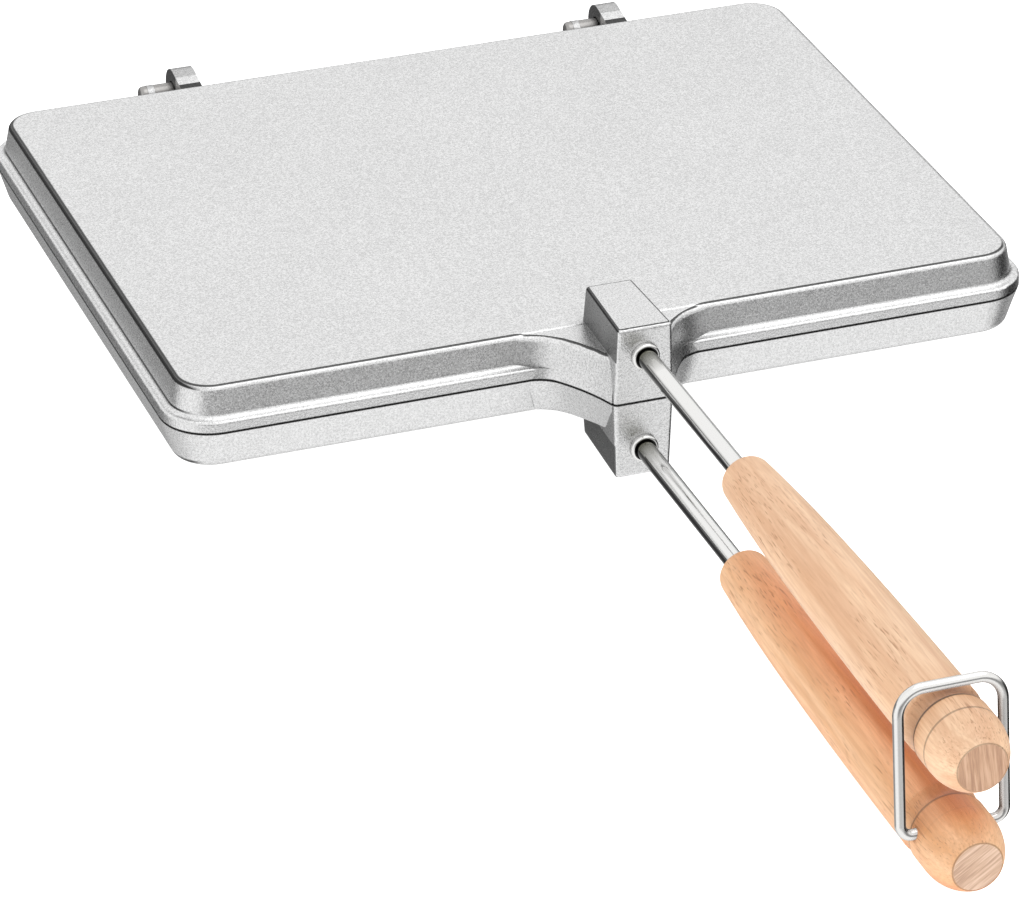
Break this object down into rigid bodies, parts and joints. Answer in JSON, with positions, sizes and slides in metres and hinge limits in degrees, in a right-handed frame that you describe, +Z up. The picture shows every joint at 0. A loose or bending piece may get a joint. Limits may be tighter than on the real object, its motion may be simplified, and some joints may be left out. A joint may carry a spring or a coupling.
{
  "type": "double-sided grill pan",
  "caption": "Flat rectangular double-sided grill pan in cast aluminium, hook hinges at the back, steel rod handles with turned wooden grips and a wire bail latch.",
  "frame": {"origin": "centre of the lower half's flat underside", "axes": "+X along the plates' long side, -Y towards the handles, +Z up through the closed pan"},
  "size_m": [0.269, 0.473, 0.0556],
  "materials": {
    "cast_aluminium": "sandblasted cast",
    "bright_steel": "polished",
    "wire_steel": "polished",
    "pin_steel": "satin",
    "beech": "sanded, lightly oiled"
  },
  "bodies": {
    "lower_half": {"lower_plate": "cast_aluminium", "lower_rod": "bright_steel", "lower_rod_collar": "bright_steel", "lower_grip": "beech", "left_hinge_pin": "pin_steel", "right_hinge_pin": "pin_steel"},
    "upper_half": {"upper_plate": "cast_aluminium", "upper_rod": "bright_steel", "upper_rod_collar": "bright_steel", "upper_grip": "beech"},
    "bail": {"handle_bail": "wire_steel"}
  },
  "joints": [
    {"name": "upper_half_hinge", "type": "hinge", "parent": "lower_half", "child": "upper_half", "pos_m": [0, 0.1058, 0.0206], "axis": [-1, 0, 0], "range_deg": [0, 180]},
    {"name": "bail_pivot", "type": "hinge", "parent": "lower_half", "child": "bail", "pos_m": [0, -0.344, 0.0007], "axis": [1, 0, 0], "range_deg": [0, 254]}
  ]
}
